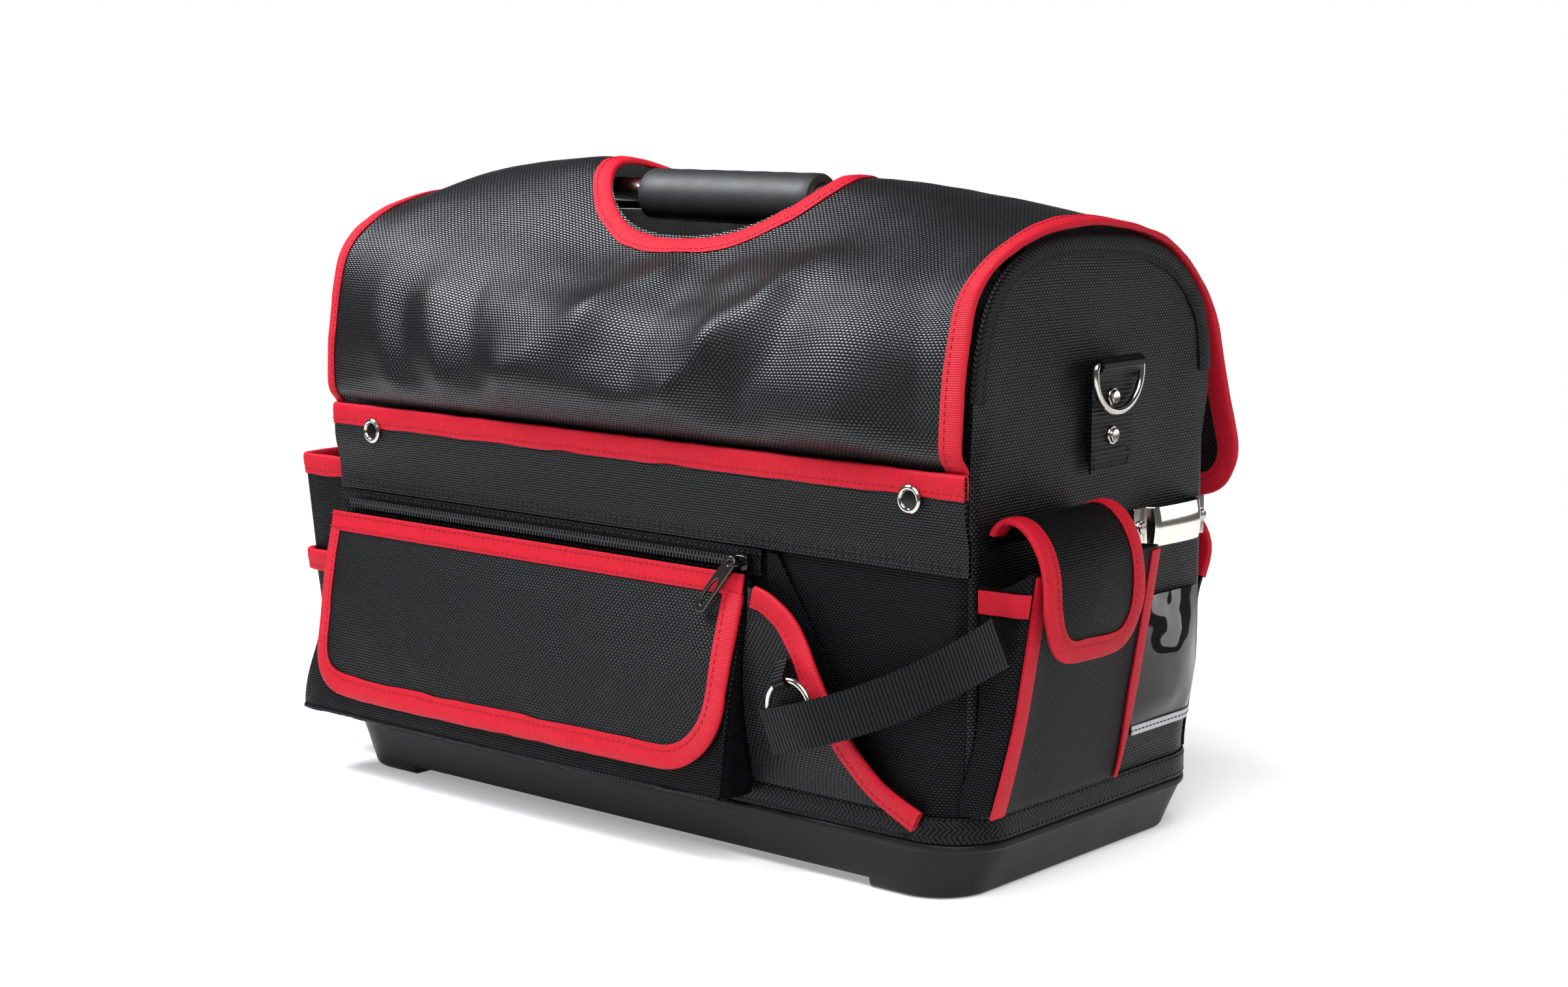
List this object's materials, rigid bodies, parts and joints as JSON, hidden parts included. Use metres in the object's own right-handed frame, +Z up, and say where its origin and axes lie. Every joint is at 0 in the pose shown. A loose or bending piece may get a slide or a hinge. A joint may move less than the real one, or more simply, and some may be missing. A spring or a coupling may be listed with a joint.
{
  "type": "tool bag",
  "caption": "Open-mouthed cloth tool bag on a hard base, with a loose cover over a steel tube handle, outside pockets, a hammer strap and end rings.",
  "frame": {"origin": "centre of the bounding box at floor level", "axes": "+X along the bag to its pouch end, -Y to the front with the zipped pocket, +Z up"},
  "size_m": [0.5732, 0.3064, 0.3767],
  "materials": {
    "black_cloth": "coarse woven polyester, matte",
    "webbing": "ribbed webbing, matte",
    "black_tape": "herringbone tape, matte",
    "red_tape": "ribbed binding tape with one stitch line",
    "base_plastic": "fine moulded grain",
    "nickel": "bright warm nickel plate",
    "grip_foam": "closed-cell foam",
    "zip_teeth": "moulded teeth",
    "zip_metal": "gloss black enamel",
    "clear_film": "clear soft film",
    "silver_strip": "silver grey tape"
  },
  "bodies": {
    "bag": {"base_tub": "base_plastic", "front_panel": "black_cloth", "back_panel": "black_cloth", "end_panel_right": "black_cloth", "end_tape_right": "black_tape", "end_panel_left": "black_cloth", "end_tape_left": "black_tape", "foot_tape": "black_tape", "cover": "black_cloth", "cover_binding": "red_tape", "hole_binding": "red_tape", "handle_frame": "nickel", "handle_grip": "grip_foam", "front_band": "black_cloth", "band_binding": "red_tape", "band_rivet_right": "nickel", "band_rivet_left": "nickel", "zip_pocket": "black_cloth", "zip_tape": "webbing", "zip_chain": "zip_teeth", "zip_slider": "zip_metal", "pocket_flap": "black_cloth", "pocket_flap_binding": "red_tape", "pocket_seam_tape": "red_tape", "side_pocket": "black_cloth", "side_pocket_binding": "red_tape", "inner_pocket": "black_cloth", "hammer_strap": "webbing", "strap_ring": "nickel", "ring_tab": "webbing", "d_tab_right": "webbing", "d_rivet_right_upper": "nickel", "d_rivet_right_lower": "nickel", "d_tab_left": "webbing", "d_rivet_left_upper": "nickel", "d_rivet_left_lower": "nickel", "pouch": "black_cloth", "pouch_binding_front": "red_tape", "pouch_binding_rear": "red_tape", "gusset_binding": "red_tape", "pouch_flap": "black_cloth", "pouch_flap_binding": "red_tape", "tape_clip": "nickel", "clip_rivet_front": "nickel", "clip_rivet_rear": "nickel", "window_film": "clear_film", "window_strip": "silver_strip", "left_pocket": "black_cloth", "left_pocket_binding": "red_tape", "left_lower_pocket": "black_cloth", "left_lower_binding": "red_tape", "back_pocket": "black_cloth", "back_pocket_binding": "red_tape"},
    "right_ring": {"d_ring_right": "nickel"},
    "left_ring": {"d_ring_left": "nickel"},
    "pull": {"zip_pull": "zip_metal"}
  },
  "joints": [
    {"name": "d_ring_right_swing", "type": "hinge", "parent": "bag", "child": "right_ring", "pos_m": [0.25139, 0.00683, 0.276], "axis": [0, -1, 0], "range_deg": [0, 150]},
    {"name": "d_ring_left_swing", "type": "hinge", "parent": "bag", "child": "left_ring", "pos_m": [-0.24741, 0.00683, 0.276], "axis": [0, 1, 0], "range_deg": [0, 150]},
    {"name": "zip_pull_swing", "type": "hinge", "parent": "bag", "child": "pull", "pos_m": [0.09099, -0.12537, 0.167], "axis": [0, -0.9613, 0.2756], "range_deg": [-18, 60]}
  ]
}
